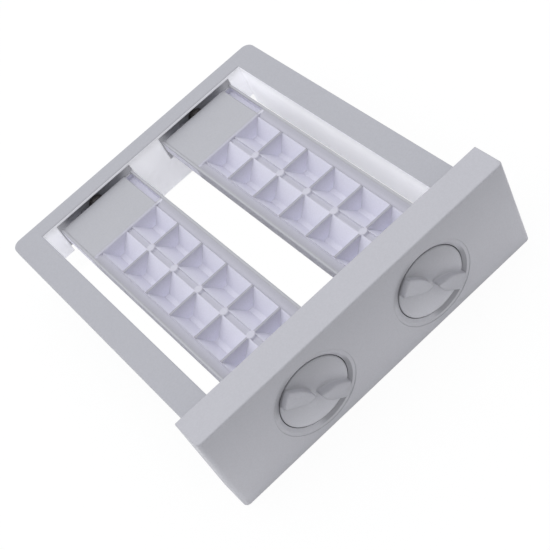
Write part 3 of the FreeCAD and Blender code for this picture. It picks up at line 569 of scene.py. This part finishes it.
def floor_lift(shader):
    """How far the camera sees the floor lifted to white, at each place."""
    across = shader.axis(shader.place, "X")
    along = shader.axis(shader.place, "Y")
    under = shader.all_of(
        shader.within(across, -OPENING_HALF, OPENING_HALF, SLOT_FADE),
        shader.within(along, OPENING_FRONT, OPENING_BACK, SLOT_FADE),
    )
    slot = shader.all_of(
        shader.within(across, SLOT_LEFT, SLOT_RIGHT, SLOT_FADE / 4),
        shader.within(along, OPENING_FRONT, OPENING_BACK + SLOT_REACH, SLOT_FADE),
    )
    lift = shader.spread(under, FLOOR_LIFT, OPENING_LIFT, 0.0, 1.0)
    return shader.slide(slot, lift, SLOT_LIFT)


def floor():
    """The pale surface that the unit stands on. The camera sees its shadows lightened."""
    mesh = bpy.data.meshes.new("floor")
    half = FLOOR_HALF
    mesh.from_pydata(
        [(-half, -half, 0), (half, -half, 0), (half, half, 0), (-half, half, 0)],
        [], [(0, 1, 2, 3)],
    )
    plane = bpy.data.objects.new("floor", mesh)
    bpy.context.scene.collection.objects.link(plane)
    shader = Shader("floor_paper")
    grain = shader.spread(shader.noise(FLOOR_GRAIN_PER_METRE), 0.0, 1.0)
    shader.colour(shader.mix(grain, tint(FLOOR_COLOUR, FLOOR_GRAIN_SHADE), FLOOR_COLOUR))
    shader.bsdf.inputs["Roughness"].default_value = 1.0
    shader.bsdf.inputs["Specular IOR Level"].default_value = 0.0
    white = shader.add("ShaderNodeEmission")
    white.inputs["Color"].default_value = (*WHITE, 1.0)
    white.inputs["Strength"].default_value = 1.0
    camera_ray = shader.add("ShaderNodeLightPath").outputs["Is Camera Ray"]
    seen = shader.all_of(floor_lift(shader), camera_ray)
    choose = shader.add("ShaderNodeMixShader")
    shader.join(seen, choose.inputs[0])
    shader.join(shader.bsdf.outputs["BSDF"], choose.inputs[1])
    shader.join(white.outputs["Emission"], choose.inputs[2])
    shader.join(choose.outputs["Shader"], shader.out.inputs["Surface"])
    mesh.materials.append(shader.material)


def sky():
    """A soft studio sky. The camera sees it as white."""
    world = bpy.data.worlds.new("studio")
    bpy.context.scene.world = world
    world.use_nodes = True
    tree = world.node_tree
    tree.nodes.clear()
    link = tree.links.new
    out = tree.nodes.new("ShaderNodeOutputWorld")
    direction = tree.nodes.new("ShaderNodeTexCoord")
    towards = tree.nodes.new("ShaderNodeVectorMath")
    towards.operation = "DOT_PRODUCT"
    towards.inputs[1].default_value = Vector(SKY_BRIGHT_SIDE).normalized()
    link(direction.outputs["Generated"], towards.inputs[0])
    ramp = tree.nodes.new("ShaderNodeMapRange")
    ramp.interpolation_type = "SMOOTHSTEP"
    ramp.inputs["From Min"].default_value = SKY_FADE_START
    ramp.inputs["From Max"].default_value = 1.0
    ramp.inputs["To Min"].default_value = SKY_LOW
    ramp.inputs["To Max"].default_value = SKY_HIGH
    link(towards.outputs["Value"], ramp.inputs["Value"])
    light = tree.nodes.new("ShaderNodeBackground")
    light.inputs["Color"].default_value = (*SKY_TINT, 1.0)
    link(ramp.outputs["Result"], light.inputs["Strength"])
    white = tree.nodes.new("ShaderNodeBackground")
    white.inputs["Color"].default_value = (*WHITE, 1.0)
    white.inputs["Strength"].default_value = 1.0
    path = tree.nodes.new("ShaderNodeLightPath")
    choose = tree.nodes.new("ShaderNodeMixShader")
    link(path.outputs["Is Camera Ray"], choose.inputs[0])
    link(light.outputs[0], choose.inputs[1])
    link(white.outputs[0], choose.inputs[2])
    link(choose.outputs[0], out.inputs["Surface"])


def key_light():
    lamp = bpy.data.lights.new("soft_key", "SUN")
    lamp.energy = KEY_STRENGTH
    lamp.angle = math.radians(KEY_SOFTNESS_DEGREES)
    holder = bpy.data.objects.new("soft_key", lamp)
    holder.rotation_mode = "QUATERNION"
    holder.rotation_quaternion = Vector(KEY_FROM).to_track_quat("Z", "Y")
    bpy.context.scene.collection.objects.link(holder)


def camera():
    lens = bpy.data.cameras.new("camera")
    lens.sensor_width = SENSOR_WIDTH
    lens.lens = FOCAL_LENGTH
    lens.clip_start = NEAR_LIMIT
    lens.clip_end = FAR_LIMIT
    holder = bpy.data.objects.new("camera", lens)
    turn = Matrix((CAMERA_RIGHT, CAMERA_UP, CAMERA_BACK)).transposed()
    holder.matrix_world = Matrix.Translation(CAMERA_PLACE) @ turn.to_4x4()
    bpy.context.scene.collection.objects.link(holder)
    bpy.context.scene.camera = holder


floor()
sky()
key_light()
camera()
bpy.context.scene.view_settings.view_transform = "Standard"
